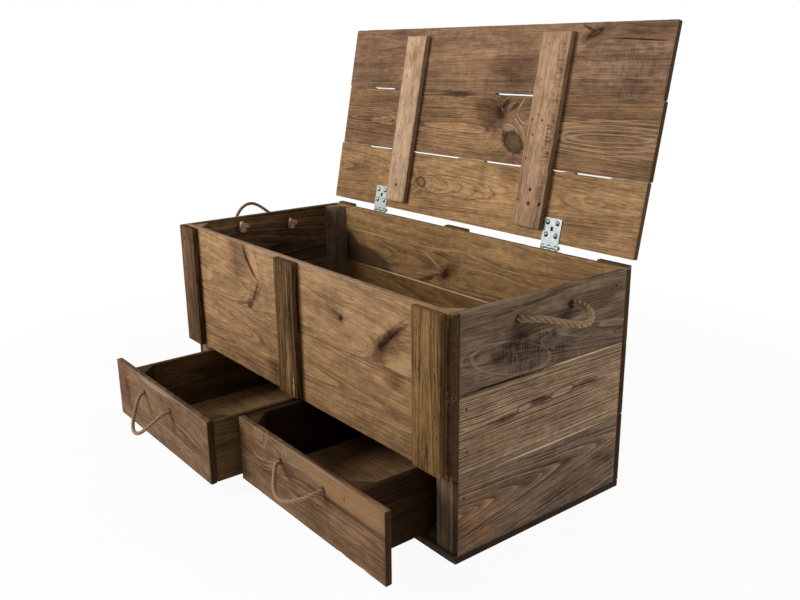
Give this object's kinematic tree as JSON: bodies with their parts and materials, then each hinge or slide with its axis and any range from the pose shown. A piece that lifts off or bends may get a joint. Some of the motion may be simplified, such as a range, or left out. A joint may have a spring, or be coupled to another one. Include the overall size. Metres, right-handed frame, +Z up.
{
  "type": "mule chest",
  "caption": "Boarded pine mule chest: an open trunk with a hinged plank lid over two drawers, with cross battens and rope loop handles.",
  "frame": {"origin": "middle of the base board's underside, under the middle of the chest's plan, where it stands on the floor", "axes": "+X to the right end seen from the front, +Y to the back, +Z up"},
  "size_m": [1.0861, 0.8108, 0.8921],
  "materials": {
    "front_pine": "stained, worn pine",
    "weathered_pine": "weathered grey-brown pine",
    "batten_pine": "olive-brown stained pine",
    "lid_pine": "mid-brown stained pine",
    "drawer_pine": "dark stained pine",
    "inner_pine": "plain sawn pine",
    "plywood": "thin plywood sheet",
    "hemp_rope": "three-strand tan rope",
    "zinc_plated_steel": "bright zinc plate",
    "screw_steel": "zinc plated dome heads",
    "nail_iron": "dark iron"
  },
  "bodies": {
    "carcass": {"back_batten_centre": "batten_pine", "back_batten_left": "batten_pine", "back_batten_right": "batten_pine", "back_board_lower": "front_pine", "back_board_middle": "front_pine", "back_board_upper": "front_pine", "base_board": "weathered_pine", "carcass_nails": "nail_iron", "corner_post_back_left": "inner_pine", "corner_post_back_right": "inner_pine", "corner_post_front_left": "inner_pine", "corner_post_front_right": "inner_pine", "drawer_guides": "inner_pine", "drawer_runners": "inner_pine", "end_board_left_lower": "weathered_pine", "end_board_left_middle": "weathered_pine", "end_board_left_upper": "weathered_pine", "end_board_right_lower": "weathered_pine", "end_board_right_middle": "weathered_pine", "end_board_right_upper": "weathered_pine", "floor_cleats": "inner_pine", "front_batten_centre": "batten_pine", "front_batten_left": "batten_pine", "front_batten_right": "batten_pine", "front_board_middle": "front_pine", "front_board_upper": "front_pine", "handle_left_knots": "hemp_rope", "handle_left_rope": "hemp_rope", "handle_right_knots": "hemp_rope", "handle_right_rope": "hemp_rope", "hinge_lower_leaf_left": "zinc_plated_steel", "hinge_lower_leaf_right": "zinc_plated_steel", "hinge_pins": "screw_steel", "hinge_screws_back": "screw_steel", "trunk_floor": "plywood"},
    "lid": {"hinge_screws_lid": "screw_steel", "hinge_upper_leaf_left": "zinc_plated_steel", "hinge_upper_leaf_right": "zinc_plated_steel", "lid_batten_left": "lid_pine", "lid_batten_right": "lid_pine", "lid_board_front": "lid_pine", "lid_board_middle": "lid_pine", "lid_board_rear": "lid_pine", "lid_nails": "nail_iron"},
    "drawer_left": {"drawer_left_back": "drawer_pine", "drawer_left_bottom": "plywood", "drawer_left_corner_blocks": "drawer_pine", "drawer_left_front": "drawer_pine", "drawer_left_handle_knots": "hemp_rope", "drawer_left_handle_rope": "hemp_rope", "drawer_left_inner_side": "drawer_pine", "drawer_left_outer_side": "drawer_pine"},
    "drawer_right": {"drawer_right_back": "drawer_pine", "drawer_right_bottom": "plywood", "drawer_right_corner_blocks": "drawer_pine", "drawer_right_front": "drawer_pine", "drawer_right_handle_knots": "hemp_rope", "drawer_right_handle_rope": "hemp_rope", "drawer_right_inner_side": "drawer_pine", "drawer_right_outer_side": "drawer_pine"}
  },
  "joints": [
    {"name": "lid_hinge", "type": "hinge", "parent": "carcass", "child": "lid", "pos_m": [0, 0.2272, 0.4544], "axis": [1, 0, 0], "range_deg": [0, 101.3]},
    {"name": "drawer_left_slide", "type": "slide", "parent": "carcass", "child": "drawer_left", "axis": [0, -1, 0], "range_m": [-0.1995, 0.098]},
    {"name": "drawer_right_slide", "type": "slide", "parent": "carcass", "child": "drawer_right", "axis": [0, -1, 0], "range_m": [-0.1375, 0.16]}
  ]
}
